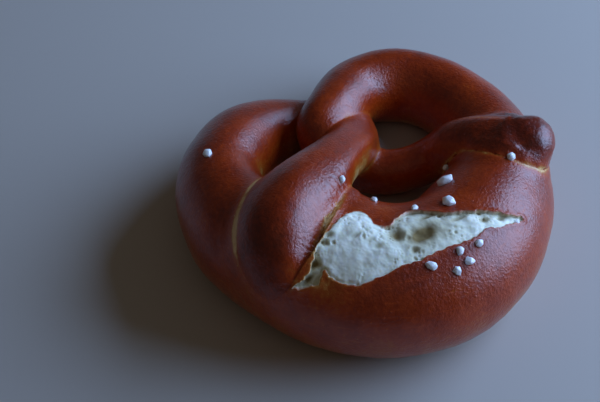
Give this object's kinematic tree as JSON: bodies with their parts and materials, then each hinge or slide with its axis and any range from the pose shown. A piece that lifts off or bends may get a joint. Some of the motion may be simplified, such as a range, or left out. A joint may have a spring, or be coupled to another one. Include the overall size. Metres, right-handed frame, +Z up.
{
  "type": "soft pretzel",
  "caption": "Baked soft pretzel: one twisted rope of bread with a torn belly, two lobes and a knot, with coarse salt grains set in its glossy crust.",
  "frame": {"origin": "middle of the bounding box in X and Y, on the plane that the bread rests on", "axes": "+Z up from the flat underside; -Y towards the thick torn belly, +Y towards the two lobes and the knot; +X to the right as seen from the belly"},
  "size_m": [0.1225, 0.1191, 0.0482],
  "materials": {
    "crust": "glossy lye-baked crust, cream crumb in the tear",
    "salt": "rough white crystals"
  },
  "bodies": {
    "root": {"pretzel": "crust", "salt_grain_01": "salt", "salt_grain_02": "salt", "salt_grain_03": "salt", "salt_grain_04": "salt", "salt_grain_05": "salt", "salt_grain_06": "salt", "salt_grain_07": "salt", "salt_grain_08": "salt", "salt_grain_09": "salt", "salt_grain_10": "salt", "salt_grain_11": "salt", "salt_grain_12": "salt", "salt_grain_13": "salt", "salt_grain_14": "salt"}
  },
  "joints": []
}
